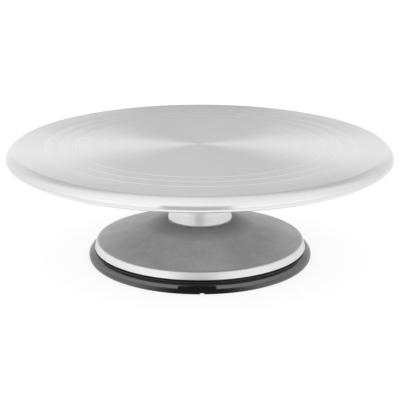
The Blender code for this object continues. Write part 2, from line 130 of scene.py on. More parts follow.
def rounded(corners):
    """A closed or axis-to-axis outline with each (radius, height, rounding) corner filleted."""
    points = []
    count = len(corners)
    for index, (r, z, rounding) in enumerate(corners):
        if rounding <= 0:
            points.append((r, z))
            continue
        before = Vector(corners[index - 1][:2]) - Vector((r, z))
        after = Vector(corners[(index + 1) % count][:2]) - Vector((r, z))
        between = before.angle(after)
        reach = rounding / tan(between / 2)
        start = Vector((r, z)) + before.normalized() * reach
        end = Vector((r, z)) + after.normalized() * reach
        middle = before.normalized() + after.normalized()
        centre = Vector((r, z)) + middle.normalized() * rounding / sin(between / 2)
        steps = max(2, round((pi - between) / radians(FILLET_TURN)))
        first = start - centre
        sweep = first.angle_signed(end - centre)
        for step in range(steps + 1):
            angle = -sweep * step / steps
            points.append((centre.x + first.x * cos(angle) - first.y * sin(angle),
                           centre.y + first.x * sin(angle) + first.y * cos(angle)))
    return points


def arc(centre, size, start, end, steps):
    """Corners along an ellipse, angles in degrees, with no rounding of their own."""
    points = []
    for step in range(steps + 1):
        angle = radians(start + (end - start) * step / steps)
        points.append((centre[0] + size[0] * cos(angle), centre[1] + size[1] * sin(angle), 0))
    return points


def spin_mesh(name, outline, segments):
    """Spin an outline that runs down its outer side; points on the axis become poles."""
    verts = []
    rings = []
    for radius, height in outline:
        if radius < 1e-7:
            rings.append([len(verts)] * segments)
            verts.append((0, 0, height))
            continue
        rings.append(list(range(len(verts), len(verts) + segments)))
        for step in range(segments):
            angle = 2 * pi * step / segments
            verts.append((radius * cos(angle), radius * sin(angle), height))
    pairs = list(zip(rings, rings[1:]))
    if outline[0][0] > 1e-7:
        pairs.append((rings[-1], rings[0]))
    faces = []
    for upper, lower in pairs:
        for step in range(segments):
            after = (step + 1) % segments
            loop = (upper[step], lower[step], lower[after], upper[after])
            faces.append(tuple(dict.fromkeys(loop)))
    mesh = bpy.data.meshes.new(name)
    mesh.from_pydata(verts, [], faces)
    return mesh


def finish_mesh(mesh, materials, sharp=28):
    mesh.shade_smooth()
    mesh.set_sharp_from_angle(angle=radians(sharp))
    for material in materials:
        mesh.materials.append(material)
    return mesh


def add_piece(name, mesh, body, node, location=(0, 0, 0), turn=0.0):
    """A finished piece that stands for a CAD node and rides on its body."""
    piece = bpy.data.objects.new(name, mesh)
    bpy.context.collection.objects.link(piece)
    piece.location = location
    piece.rotation_euler = (0, 0, turn)
    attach(piece, body)
    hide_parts(node)


def turned(name, corners, segments, materials, body, node, height=0.0):
    mesh = finish_mesh(spin_mesh(name, rounded(corners), segments), materials)
    add_piece(name, mesh, body, node, (0, 0, height))


def boolean(mesh, other, operation):
    """The union or difference of two meshes, as a new mesh with the first one's slots."""
    target = bpy.data.objects.new("boolean_target", mesh)
    tool = bpy.data.objects.new("boolean_tool", other)
    for item in (target, tool):
        bpy.context.collection.objects.link(item)
    modifier = target.modifiers.new("boolean", "BOOLEAN")
    modifier.operation = operation
    modifier.object = tool
    modifier.solver = "EXACT"
    bpy.context.view_layer.update()
    evaluated = target.evaluated_get(bpy.context.evaluated_depsgraph_get())
    result = bpy.data.meshes.new_from_object(evaluated)
    for item in (target, tool):
        bpy.data.objects.remove(item)
    return result


def paint(mesh, index, inside):
    """Give a material slot to the faces whose centre passes the test."""
    for face in mesh.polygons:
        if inside(face.center):
            face.material_index = index


def peg_mesh(places, radius, low, high, segments=40):
    """Upright round pegs, as one cutter."""
    bm = bmesh.new()
    for x, y in places:
        made = bmesh.ops.create_cone(bm, cap_ends=True, segments=segments, radius1=radius,
                                     radius2=radius, depth=high - low)
        bmesh.ops.translate(bm, vec=(x, y, (low + high) / 2), verts=made["verts"])
    mesh = bpy.data.meshes.new("pegs")
    bm.to_mesh(mesh)
    bm.free()
    return mesh


def prism_mesh(outline, low, high):
    """A flat outline of (x, y) points raised from low to high."""
    bm = bmesh.new()
    face = bm.faces.new([bm.verts.new((x, y, low)) for x, y in outline])
    raised = bmesh.ops.extrude_face_region(bm, geom=[face])["geom"]
    rising = [item for item in raised if isinstance(item, bmesh.types.BMVert)]
    bmesh.ops.translate(bm, vec=(0, 0, high - low), verts=rising)
    bmesh.ops.recalc_face_normals(bm, faces=bm.faces)
    mesh = bpy.data.meshes.new("prism")
    bm.to_mesh(mesh)
    bm.free()
    return mesh


def bevel_mesh(mesh, width, segments=3, angle=30):
    """Round a mesh's sharp edges."""
    bm = bmesh.new()
    bm.from_mesh(mesh)
    edges = [edge for edge in bm.edges
             if len(edge.link_faces) == 2 and edge.calc_face_angle(0) > radians(angle)]
    bmesh.ops.bevel(bm, geom=edges, offset=width, offset_type="OFFSET", segments=segments,
                    profile=0.5, affect="EDGES", clamp_overlap=True)
    bm.to_mesh(mesh)
    bm.free()
    return mesh


def cut_thread(mesh, low, high, radius, pitch, depth):
    """Sink a helical thread into the part of a shaft between two heights."""
    for vert in mesh.vertices:
        reach = hypot(vert.co.x, vert.co.y)
        if not (low <= vert.co.z <= high and abs(reach - radius) < 0.05 * MM):
            continue
        phase = (vert.co.z / pitch - atan2(vert.co.y, vert.co.x) / (2 * pi)) % 1.0
        groove = max(0.0, 1 - abs(phase - 0.5) / 0.45)
        fade = min(1.0, (high - vert.co.z) / pitch, (vert.co.z - low) / (0.3 * pitch) + 0.3)
        scale = 1 - depth * groove * fade / reach
        vert.co.x *= scale
        vert.co.y *= scale


# ------------------------------------------------------------------- materials

def start_material(name, colour, roughness, metallic):
    material = bpy.data.materials.new(name)
    material.use_nodes = True
    shader = material.node_tree.nodes["Principled BSDF"]
    shader.inputs["Base Color"].default_value = (*colour, 1.0)
    shader.inputs["Roughness"].default_value = roughness
    shader.inputs["Metallic"].default_value = metallic
    return material, material.node_tree, shader


def add_node(tree, kind, values=None, **settings):
    """A node with its settings; values set or link its inputs by name or number."""
    node = tree.nodes.new(kind)
    for key, value in settings.items():
        setattr(node, key, value)
    for key, value in (values or {}).items():
        if isinstance(value, bpy.types.NodeSocket):
            tree.links.new(value, node.inputs[key])
        else:
            node.inputs[key].default_value = value
    return node


def object_point(tree):
    return add_node(tree, "ShaderNodeTexCoord").outputs["Object"]


def radius_value(tree):
    """Distance from the turning axis, in metres."""
    flat = add_node(tree, "ShaderNodeVectorMath", {0: object_point(tree), 1: (1, 1, 0)},
                    operation="MULTIPLY")
    length = add_node(tree, "ShaderNodeVectorMath", {0: flat.outputs[0]}, operation="LENGTH")
    return length.outputs["Value"]


def noise_value(tree, point, scale, detail, roughness=0.5):
    node = add_node(tree, "ShaderNodeTexNoise", {"Vector": point, "Scale": scale,
                                                 "Detail": detail, "Roughness": roughness})
    return node.outputs["Fac"]


def ring_noise(tree, radius, scale, detail):
    """Noise that only changes with the radius, as a lathe tool leaves it."""
    node = add_node(tree, "ShaderNodeTexNoise", {"W": radius, "Scale": scale, "Detail": detail},
                    noise_dimensions="1D")
    return node.outputs["Fac"]


def spread(tree, value, low, high, start=0.3, end=0.7):
    """Map a value to low..high; the start and end left out suit a noise value."""
    node = add_node(tree, "ShaderNodeMapRange", {"Value": value, "From Min": start, "From Max": end,
                                                 "To Min": low, "To Max": high})
    return node.outputs["Result"]


def mix_colour(tree, factor, first, second):
    """Blend two colours, each given as three numbers or as a node's output."""
    first, second = (end if isinstance(end, bpy.types.NodeSocket) else (*end, 1.0)
                     for end in (first, second))
    node = add_node(tree, "ShaderNodeMix", {0: factor, 6: first, 7: second}, data_type="RGBA")
    return node.outputs[2]


def add_bump(tree, shader, height, distance, strength=1.0):
    bump = add_node(tree, "ShaderNodeBump", {"Height": height, "Distance": distance,
                                             "Strength": strength})
    tree.links.new(bump.outputs["Normal"], shader.inputs["Normal"])


def join_values(tree, first, second):
    return add_node(tree, "ShaderNodeMath", {0: first, 1: second}, operation="ADD").outputs[0]


def scaled(tree, value, factor):
    return add_node(tree, "ShaderNodeMath", {0: value, 1: factor}, operation="MULTIPLY").outputs[0]


LINE_HEIGHT = 0.004 * MM            # of the lathe's finest rings
RIM_GLOSS = 0.20
PIT_DEPTH = 0.12 * MM
NECK_SHADE = (26.0 * MM, 46.0 * MM)     # the cast skin eases from painted shade near the neck to its own colour and from skin to bare metal, between these radii
CREST_WEAR = (84.0 * MM, 86.6 * MM)     # and from skin to bare metal, between these radii


def turned_metal(name, colour, roughness, anisotropy, line_scale=2500.0):
    """Aluminium or steel off a lathe: fine rings in gloss and height about the axis."""
    material, tree, shader = start_material(name, colour, roughness, 1.0)
    radius = radius_value(tree)
    fine = ring_noise(tree, radius, line_scale, 3.0)
    broad = ring_noise(tree, radius, 180.0, 2.0)
    smudge = noise_value(tree, object_point(tree), 24.0, 3.0)
    both = join_values(tree, spread(tree, fine, -0.04, 0.04), spread(tree, broad, -0.012, 0.012))
    both = join_values(tree, both, spread(tree, smudge, -0.015, 0.025))
    tree.links.new(join_values(tree, both, roughness), shader.inputs["Roughness"])
    darker = tuple(0.955 * part for part in colour)
    tree.links.new(mix_colour(tree, fine, darker, colour), shader.inputs["Base Color"])
    shader.inputs["Anisotropic"].default_value = anisotropy
    shader.inputs["Anisotropic Rotation"].default_value = 0.25
    tangent = add_node(tree, "ShaderNodeTangent", direction_type="RADIAL", axis="Z")
    tree.links.new(tangent.outputs[0], shader.inputs["Tangent"])
    add_bump(tree, shader, fine, LINE_HEIGHT)
    return material


def polish_outward(material, start, end, roughness, anisotropy):
    """Ease a turned metal from one gloss (first value) to another between two radii."""
    tree = material.node_tree
    shader = tree.nodes["Principled BSDF"]
    radius = radius_value(tree)
    gloss = spread(tree, radius, roughness[0] - roughness[1], 0.0, start, end)
    before = shader.inputs["Roughness"].links[0].from_socket
    tree.links.new(join_values(tree, before, gloss), shader.inputs["Roughness"])
    grain = spread(tree, radius, anisotropy[0], anisotropy[1], start, end)
    tree.links.new(grain, shader.inputs["Anisotropic"])
    return material


def cast_metal(name, colour):
    """Sand-cast metal: matt grey skin, fine pits, soft mottling, painted shade at the neck and worn
    crest.
    """
    material, tree, shader = start_material(name, colour, 0.52, 0.4)
    point = object_point(tree)
    pits = noise_value(tree, point, 900.0, 3.0, 0.6)
    lumps = noise_value(tree, point, 260.0, 2.0, 0.55)
    mottle = noise_value(tree, point, 45.0, 4.0, 0.6)
    darker = tuple(0.80 * part for part in colour)
    lighter = tuple(1.18 * part for part in colour)
    blend = join_values(tree, spread(tree, mottle, 0.25, 0.75), spread(tree, pits, -0.35, 0.35))
    radius = radius_value(tree)
    # painted shade: the skin is darkened to 0.45 of its colour at the neck, easing back to full colour
    # over NECK_SHADE
    shaded = tuple(0.45 * part for part in colour)
    skin = mix_colour(tree, spread(tree, radius, 0.0, 1.0, *NECK_SHADE), shaded,
                      mix_colour(tree, blend, darker, lighter))
    wander = join_values(tree, radius, spread(tree, mottle, -0.4 * MM, 0.4 * MM))
    worn = spread(tree, wander, 0.0, 1.0, *CREST_WEAR)
    bare = (0.88, 0.88, 0.885)
    tree.links.new(mix_colour(tree, worn, skin, bare), shader.inputs["Base Color"])
    tree.links.new(spread(tree, pits, 0.46, 0.62), shader.inputs["Roughness"])
    tree.links.new(spread(tree, worn, 0.4, 1.0, 0.0, 1.0), shader.inputs["Metallic"])
    height = join_values(tree, scaled(tree, pits, 0.5), lumps)
    add_bump(tree, shader, height, PIT_DEPTH)
    return material


def black_rubber(name, colour, roughness, ior):
    """Moulded rubber: half gloss with a faint bloom and a fine skin."""
    material, tree, shader = start_material(name, colour, roughness, 0.0)
    shader.inputs["IOR"].default_value = ior
    point = object_point(tree)
    bloom = noise_value(tree, point, 60.0, 3.0)
    skin = noise_value(tree, point, 1400.0, 2.0)
    lighter = tuple(part * 1.5 + 0.002 for part in colour)
    tree.links.new(mix_colour(tree, bloom, colour, lighter), shader.inputs["Base Color"])
    tree.links.new(spread(tree, bloom, roughness - 0.05, roughness + 0.06), shader.inputs["Roughness"])
    add_bump(tree, shader, skin, 0.02 * MM, 0.5)
    return material


def plated_metal(name, colour, roughness, tint):
    """Zinc plate, brass or steel that isn't turned: cloudy colour and gloss."""
    material, tree, shader = start_material(name, colour, roughness, 1.0)
    point = object_point(tree)
    cloud = noise_value(tree, point, 110.0, 3.0)
    grain = noise_value(tree, point, 1200.0, 2.0)
    tree.links.new(mix_colour(tree, cloud, colour, tint), shader.inputs["Base Color"])
    tree.links.new(spread(tree, cloud, roughness - 0.06, roughness + 0.08), shader.inputs["Roughness"])
    add_bump(tree, shader, grain, 0.01 * MM, 0.6)
    return material


def make_materials():
    return {
        "plate_top": turned_metal("plate_top_aluminium", (0.82, 0.82, 0.825), 0.31, 0.85),
        "plate_rim": polish_outward(
            turned_metal("plate_rim_aluminium", (0.83, 0.83, 0.835), RIM_GLOSS, 0.60),
            PLATE_RADIUS - RIM_ROUND, PLATE_RADIUS - 0.45 * RIM_ROUND, (0.31, RIM_GLOSS), (0.85, 0.60)),
        "plate_guide": turned_metal("plate_guide_aluminium", (0.85, 0.85, 0.855), 0.16, 0.60),
        # the underside's dark grey is painted shade: it stands for the shadow under the plate and darkens
        # what the cone, neck and rubber reflect
        "plate_under": turned_metal("plate_under_aluminium", (0.18, 0.18, 0.183), 0.40, 0.60, 1200.0),
        "hub": turned_metal("hub_aluminium", (0.93, 0.93, 0.935), 0.43, 0.50),
        "machined": turned_metal("machined_aluminium", (0.90, 0.90, 0.905), 0.42, 0.50),
        "cast": cast_metal("cast_aluminium", (0.80, 0.80, 0.805)),
        "rubber": black_rubber("black_rubber", (0.003, 0.003, 0.003), 0.13, 2.2),
        "seal": black_rubber("seal_rubber", (0.05, 0.026, 0.018), 0.5, 1.5),
        "bearing": turned_metal("bearing_steel", (0.62, 0.63, 0.65), 0.16, 0.40),
        "ball": plated_metal("ball_steel", (0.66, 0.67, 0.69), 0.10, (0.62, 0.63, 0.66)),
        "spindle": turned_metal("spindle_steel", (0.50, 0.51, 0.52), 0.26, 0.50),
        "shield": plated_metal("shield_steel", (0.55, 0.55, 0.56), 0.32, (0.48, 0.48, 0.50)),
        "cage": plated_metal("cage_brass", (0.72, 0.53, 0.24), 0.32, (0.62, 0.43, 0.18)),
        "spring": plated_metal("spring_steel", (0.16, 0.16, 0.17), 0.38, (0.10, 0.10, 0.11)),
        "zinc": plated_metal("zinc_steel", (0.66, 0.67, 0.69), 0.30, (0.58, 0.60, 0.62)),
    }


# ---------------------------------------------------------------- the turntable

def screw_places():
    turns = [2 * pi * (number + 0.5) / SCREW_COUNT for number in range(SCREW_COUNT)]
    return [(SCREW_CIRCLE * cos(turn), SCREW_CIRCLE * sin(turn), turn) for turn in turns]


def make_plate(materials):
    """The plate: flat turned top with engraved guide rings, rolled polished rim, pan below."""
    flat = PLATE_RADIUS - RIM_ROUND
    waist = PLATE_TOP - RIM_ROUND
    under = PLATE_TOP - PLATE_THICKNESS
    inner = RIM_ROUND - PLATE_THICKNESS
    lower = 3.2 * MM
    corners = [(0, PLATE_TOP, 0), (30 * MM, PLATE_TOP, 0), (70 * MM, PLATE_TOP, 0)]
    for radius in GUIDE_RADII:
        corners += [(radius - GUIDE_STEEP, PLATE_TOP, 0),
                    (radius, PLATE_TOP - GUIDE_DEPTH, 0),
                    (radius + GUIDE_SLOPE, PLATE_TOP, 0)]
    corners += [(140 * MM, PLATE_TOP, 0)]
    corners += arc((flat, waist), (RIM_ROUND, RIM_ROUND), 90, 0, 24)
    corners += arc((PLATE_RADIUS - lower, waist), (lower, waist - RIM_LOW), 0, -90, 10)[1:]
    corners += arc((flat, waist), (inner, inner), 0, 90, 10)
    corners += [(120 * MM, under, 0), (BOSS_RADIUS + 2 * MM, under, 1.5 * MM),
                (BOSS_RADIUS, under - 1.8 * MM, 0.6 * MM), (BOSS_RADIUS, BOSS_LOW, 0.5 * MM),
                (SPIGOT_RADIUS, BOSS_LOW, 0), (SPIGOT_RADIUS, BOSS_LOW - SPIGOT_DEPTH, 0.5 * MM),
                (0, BOSS_LOW - SPIGOT_DEPTH, 0)]
    mesh = spin_mesh("plate", rounded(corners), FINE)
    places = [(x, y) for x, y, _ in screw_places()]
    holes = peg_mesh(places, SCREW_HOLE, BOSS_LOW - MM, SCREW_HOLE_TOP)
    mesh = boolean(mesh, holes, "DIFFERENCE")
    mesh.materials.clear()
    finish_mesh(mesh, [materials["plate_top"], materials["plate_rim"], materials["plate_under"],
                       materials["plate_guide"]])
    paint(mesh, 1, lambda c: hypot(c.x, c.y) > flat + 0.1 * MM and c.z > RIM_LOW - MM)
    # the underside's faces get the dark grey that stands for the shade under the plate
    paint(mesh, 2, lambda c: c.z < under + 0.05 * MM and hypot(c.x, c.y) < flat + inner + 0.05 * MM)
    paint(mesh, 3, lambda c: PLATE_TOP - GUIDE_DEPTH < c.z < PLATE_TOP - 0.01 * MM
          and hypot(c.x, c.y) < GUIDE_RADII[-1] + GUIDE_SLOPE)
    add_piece("plate", mesh, "turntable", "turntable_plate")


def make_hub(materials):
    """The neck: satin turned hub with a flared lip, a bored inside and a screwed flange."""
    bore = BEARING_RADIUS + GAP
    corners = [(FLANGE_RADIUS, HUB_TOP, 0.5 * MM), (FLANGE_RADIUS, FLANGE_LOW, 0.8 * MM),
               (HUB_RADIUS, FLANGE_LOW, 4.5 * MM), (HUB_RADIUS, HUB_LOW + HUB_FLARE, 30.0 * MM),
               (HUB_LIP_RADIUS, HUB_LOW + 1.8 * MM, 1.6 * MM),
               (HUB_LIP_RADIUS - 0.4 * MM, HUB_LOW, 1.1 * MM),
               (SEAL_BORE + 0.9 * MM, HUB_LOW, 0.2 * MM), (SEAL_BORE, HUB_LOW + 0.9 * MM, 0.2 * MM),
               (SEAL_BORE, LEDGE_LOW, 0.2 * MM), (LEDGE_RADIUS, LEDGE_LOW, 0.2 * MM),
               (LEDGE_RADIUS, SHOULDER_TOP, 0.2 * MM), (bore, SHOULDER_TOP, 0),
               (bore, GROOVE_LOW, 0), (CLIP_GROOVE, GROOVE_LOW, 0), (CLIP_GROOVE, GROOVE_HIGH, 0),
               (bore, GROOVE_HIGH, 0), (bore, HUB_TOP, 0.4 * MM)]
    mesh = spin_mesh("neck", rounded(corners), MEDIUM)
    places = [(x, y) for x, y, _ in screw_places()]
    holes = peg_mesh(places, SCREW_HOLE, FLANGE_LOW - MM, HUB_TOP + MM)
    mesh = boolean(mesh, holes, "DIFFERENCE")
    mesh.materials.clear()
    finish_mesh(mesh, [materials["hub"]])
    add_piece("neck", mesh, "turntable", "plate_hub")


def cone_height(radius):
    """Height of the base's sloping top at a radius."""
    return CREST + (CREST_RADIUS - radius) * (CONE_TOP - CREST) / (CREST_RADIUS - CONE_TOP_RADIUS)


def rib_mesh(number):
    """A tapered web under the cone, from the boss out to the skirt."""
    inner = BASE_BOSS_RADIUS - 2.0 * MM
    outer = STEP_RADIUS - 2.5 * MM
    side = [(inner, BASE_BOSS_LOW + 0.5 * MM, 1.9 * MM), (outer, 9.0 * MM, 1.9 * MM),
            (outer, cone_height(outer) - WALL / 2, 2.5 * MM), (inner, CONE_TOP - WALL / 2, 2.5 * MM)]
    turn = 2 * pi * (number + 0.5) / RIB_COUNT
    verts = []
    for way in (-1, 1):
        for r, z, half in side:
            verts.append((r * cos(turn) - way * half * sin(turn),
                          r * sin(turn) + way * half * cos(turn), z))
    faces = [(0, 1, 2, 3), (7, 6, 5, 4), (0, 4, 5, 1), (1, 5, 6, 2), (2, 6, 7, 3), (3, 7, 4, 0)]
    mesh = bpy.data.meshes.new("rib")
    mesh.from_pydata(verts, [], faces)
    bm = bmesh.new()
    bm.from_mesh(mesh)
    bmesh.ops.recalc_face_normals(bm, faces=bm.faces)
    low_edges = [edge for edge in bm.edges if all(vert.index in (0, 1, 4, 5) for vert in edge.verts)
                 and abs(edge.verts[0].index - edge.verts[1].index) == 1]
    bmesh.ops.bevel(bm, geom=low_edges, offset=1.2 * MM, segments=4, profile=0.5, affect="EDGES")
    bm.to_mesh(mesh)
    bm.free()
    return mesh


def make_base(materials):
    """The cast base: matt grey cone, bright machined rim and collar, ribs and boss below."""
    skirt = 81.3 * MM
    ceiling_outer = 79.0 * MM
    ceiling_inner = BASE_BOSS_RADIUS + 4.0 * MM
    inner_height = cone_height(ceiling_inner) - WALL
    corners = [(SHANK_BORE, COLLAR_TOP, 0.3 * MM), (COLLAR_RADIUS, COLLAR_TOP, 0.6 * MM),
               (COLLAR_RADIUS, CONE_TOP, 0.8 * MM), (CONE_TOP_RADIUS, CONE_TOP, 0.8 * MM),
               (CREST_RADIUS, CREST, 2.4 * MM), (BASE_RADIUS, RIM_UNDER - 0.1 * MM, 0.2 * MM),
               (STEP_RADIUS, RIM_UNDER, 0), (STEP_RADIUS, STEP_LOW, 0.5 * MM),
               (skirt, STEP_LOW, 0.8 * MM), (skirt, RIM_UNDER + 0.5 * MM, 1.2 * MM),
               (ceiling_outer, cone_height(ceiling_outer) - WALL, 3.0 * MM),
               (ceiling_inner, inner_height, 1.5 * MM),
               (BASE_BOSS_RADIUS, inner_height - 2.5 * MM, 1.5 * MM),
               (BASE_BOSS_RADIUS, BASE_BOSS_LOW, 0.8 * MM), (SHANK_BORE, BASE_BOSS_LOW, 0.3 * MM)]
    mesh = spin_mesh("base", rounded(corners), FINE)
    for number in range(RIB_COUNT):
        mesh = boolean(mesh, rib_mesh(number), "UNION")
    mesh.materials.clear()
    finish_mesh(mesh, [materials["cast"], materials["machined"]])
    crest_edge = CREST_RADIUS - 0.35 * MM
    boss_face = BASE_BOSS_RADIUS - 0.7 * MM
    paint(mesh, 1, lambda c: hypot(c.x, c.y) > crest_edge and c.z > RIM_UNDER - 0.1 * MM)
    paint(mesh, 1, lambda c: hypot(c.x, c.y) > skirt - 0.1 * MM and c.z < RIM_UNDER)
    paint(mesh, 1, lambda c: c.z > CONE_TOP - 0.05 * MM)
    paint(mesh, 1, lambda c: hypot(c.x, c.y) < boss_face and c.z < BASE_BOSS_LOW + 0.1 * MM)
    add_piece("base", mesh, "base", "base_casting")


def make_rubber_ring(materials):
    """The rubber ring: round bulge outside, lip under the step, flat foot with a vent notch."""
    waist = 5.2 * MM
    foot = 89.3 * MM
    shoulder = 88.0 * MM
    bulge_top = RING_TOP - 0.8 * MM
    recess = 86.8 * MM
    inner = STEP_RADIUS + GAP
    lip_inner = 81.0 * MM
    lip_top = STEP_LOW - GAP
    corners = [(lip_inner, 0, 0.3 * MM)]
    corners += arc((foot, waist), (RING_RADIUS - foot, waist), -90, 0, 14)
    corners += arc((shoulder, waist), (RING_RADIUS - shoulder, bulge_top - waist), 0, 90, 16)[1:]
    corners += [(recess, bulge_top, 0.3 * MM), (recess, RING_TOP, 0.2 * MM),
                (inner, RING_TOP, 0.3 * MM), (inner, lip_top, 0), (lip_inner, lip_top, 0.3 * MM)]
    mesh = spin_mesh("foot_ring", rounded(corners), FINE)
    mesh.flip_normals()
    left = NOTCH_OFFSET - NOTCH_HALF_WIDTH
    right = NOTCH_OFFSET + NOTCH_HALF_WIDTH
    outside = -95 * MM
    inside = -79 * MM
    outline = [(left, outside), (right, outside), (right, inside), (left, inside)]
    notch = bevel_mesh(prism_mesh(outline, -2 * MM, NOTCH_HEIGHT), 0.35 * MM)
    mesh = boolean(mesh, notch, "DIFFERENCE")
    mesh.materials.clear()
    finish_mesh(mesh, [materials["rubber"]])
    add_piece("foot_ring", mesh, "base", "non_slip_ring")


# ------------------------------------------------------------------ the spindle

def make_spindle(materials):
    """Ground steel spindle: shoulder, clip groove, centre holes and a threaded lower end."""
    thread_top = 23.0 * MM
    thread_radius = 8.0 * MM
    pitch = 1.5 * MM
    step = 0.1 * MM
    shank = 10.0 * MM
    shoulder = 14.0 * MM
    seat = 8.2 * MM
    clip_groove = 7.3 * MM
    corners = [(0, SPINDLE_TOP - 2.2 * MM, 0), (1.9 * MM, SPINDLE_TOP, 0.15 * MM),
               (seat - 0.3 * MM, SPINDLE_TOP, 0.4 * MM), (seat, SPINDLE_TOP - 0.8 * MM, 0.3 * MM),
               (seat, GROOVE_HIGH, 0), (clip_groove, GROOVE_HIGH, 0), (clip_groove, GROOVE_LOW, 0),
               (seat, GROOVE_LOW, 0), (seat, SHOULDER_TOP, 0.3 * MM),
               (shoulder, SHOULDER_TOP, 0.5 * MM), (shoulder, COLLAR_TOP + GAP, 0.5 * MM),
               (shank, COLLAR_TOP + GAP, 0), (shank, thread_top, 0.5 * MM),
               (thread_radius, thread_top, 0)]
    rows = int((thread_top - SPINDLE_LOW - 0.9 * MM) / step)
    corners += [(thread_radius, thread_top - 0.1 * MM - row * step, 0) for row in range(rows)]
    corners += [(thread_radius - 0.9 * MM, SPINDLE_LOW, 0), (1.9 * MM, SPINDLE_LOW, 0),
                (0, SPINDLE_LOW + 2.2 * MM, 0)]
    mesh = spin_mesh("shaft", rounded(corners), SMALL)
    cut_thread(mesh, SPINDLE_LOW + 0.9 * MM, thread_top, thread_radius, pitch, 0.8 * MM)
    finish_mesh(mesh, [materials["spindle"]], 40)
    add_piece("shaft", mesh, "base", "spindle")


def make_washers(materials):
    """A plain washer with a rolled edge, and a split spring washer."""
    low, high = (corner.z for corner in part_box("spindle_washer"))
    corners = [(15 * MM, high, 0.5 * MM), (15 * MM, low, 0.3 * MM),
               (8.3 * MM, low, 0.2 * MM), (8.3 * MM, high, 0.2 * MM)]
    turned("flat_washer", corners, MEDIUM, [materials["zinc"]], "base", "spindle_washer")
    low, high = (corner.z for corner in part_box("spring_washer"))
    outer = 12.6 * MM
    inner = 8.3 * MM
    section = [(outer - 0.3 * MM, high), (outer, high - 0.3 * MM), (outer, low + 0.3 * MM),
               (outer - 0.3 * MM, low), (inner + 0.2 * MM, low), (inner, low + 0.2 * MM),
               (inner, high - 0.2 * MM), (inner + 0.2 * MM, high)]
    mesh = swept_ring(section, radians(4), radians(356), SMALL)
    finish_mesh(mesh, [materials["spring"]])
    add_piece("lock_washer", mesh, "base", "spring_washer", turn=radians(20))


def swept_ring(section, start, end, steps):
    """A closed section carried part of the way round the axis, with flat ends."""
    verts = []
    for step in range(steps + 1):
        angle = start + (end - start) * step / steps
        verts += [(radius * cos(angle), radius * sin(angle), height) for radius, height in section]
    count = len(section)
    faces = []
    for step in range(steps):
        for index in range(count):
            here = step * count + index
            beside = step * count + (index + 1) % count
            faces.append((here, beside, beside + count, here + count))
    faces.append(tuple(range(count)))
    faces.append(tuple(reversed(range(steps * count, (steps + 1) * count))))
    bm = bmesh.new()
    made = [bm.verts.new(vert) for vert in verts]
    for face in faces:
        bm.faces.new([made[index] for index in face])
    bmesh.ops.recalc_face_normals(bm, faces=bm.faces)
    mesh = bpy.data.meshes.new("swept_ring")
    bm.to_mesh(mesh)
    bm.free()
    return mesh


def hexagon(across_flats):
    """The six corners of a hexagon, by its width across the flats."""
    corner = across_flats / sqrt(3)
    return [(corner * cos(pi * side / 3), corner * sin(pi * side / 3)) for side in range(6)]


def make_nut(materials):
    """A hex nut: corners turned down to a chamfer, and a countersunk bore."""
    low, high = (corner.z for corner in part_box("spindle_nut"))
    flats = 24 * MM
    bore = 8.3 * MM
    blank = prism_mesh(hexagon(flats), low, high)
    corner = flats / sqrt(3)
    chamfer = 1.6 * MM
    envelope = spin_mesh("envelope", rounded([
        (0, high, 0), (corner - 2.2 * MM, high, 0), (corner + 0.6 * MM, high - chamfer, 0),
        (corner + 0.6 * MM, low + chamfer, 0), (corner - 2.2 * MM, low, 0), (0, low, 0)]), SMALL)
    mesh = boolean(blank, envelope, "INTERSECT")
    hole = spin_mesh("hole", rounded([
        (0, high + MM, 0), (bore + 1.6 * MM, high + MM, 0), (bore + 0.6 * MM, high, 0),
        (bore, high - 0.6 * MM, 0), (bore, low + 0.6 * MM, 0), (bore + 0.6 * MM, low, 0),
        (bore + 1.6 * MM, low - MM, 0), (0, low - MM, 0)]), SMALL)
    mesh = boolean(mesh, hole, "DIFFERENCE")
    mesh.materials.clear()
    finish_mesh(mesh, [materials["zinc"]])
    add_piece("lock_nut", mesh, "base", "spindle_nut")


def make_screws(materials):
    """Socket-head screws: knurled head with a rounded top edge and a real hex socket."""
    seat = 85.4 * MM
    head_radius = 4.25 * MM
    head = 5.0 * MM
    shank = 2.5 * MM
    socket = 4.0 * MM
    top = seat + SCREW_LENGTH
    corners = [(0, top, 0), (shank - 0.4 * MM, top, 0), (shank, top - 0.5 * MM, 0), (shank, seat, 0),
               (head_radius, seat, 0.3 * MM), (head_radius, seat - head, 0.7 * MM), (0, seat - head, 0)]
    body = spin_mesh("screw", rounded(corners), SMALL)
    for vert in body.vertices:
        reach = hypot(vert.co.x, vert.co.y)
        if reach > head_radius - 0.02 * MM and seat - head + MM < vert.co.z < seat - 0.2 * MM:
            ridge = 0.5 - 0.5 * cos(32 * atan2(vert.co.y, vert.co.x))
            vert.co.xy *= 1 - 0.25 * MM * ridge / reach
    hole = prism_mesh(hexagon(socket), seat - head - MM, seat - head + 2.5 * MM)
    mesh = boolean(body, hole, "DIFFERENCE")
    mesh.materials.clear()
    finish_mesh(mesh, [materials["zinc"]])
    for number, (x, y, turn) in enumerate(screw_places(), start=1):
        add_piece(f"cap_screw_{number}", mesh, "turntable", f"hub_screw_{number}",
                  (x, y, 0), turn + number)


# ----------------------------------------------------------------- the bearings

PITCH_RADIUS = 14.25 * MM
GROOVE_RADIUS = 3.67 * MM
RACE_INNER = 8.5 * MM
RACE_LAND_INNER = 12.1 * MM
RACE_LAND_OUTER = 16.4 * MM
HALF_WIDTH = 6.0 * MM


def groove_arc(land, start_sign):
    """The ball groove's arc, from the land's upper edge down, or up for the outer race."""
    edge = acos((land - PITCH_RADIUS) / GROOVE_RADIUS) * 180 / pi
    start, end = (edge, 360 - edge) if start_sign > 0 else (-edge, edge)
    return arc((PITCH_RADIUS, 0), (GROOVE_RADIUS, GROOVE_RADIUS), start, end, 14)


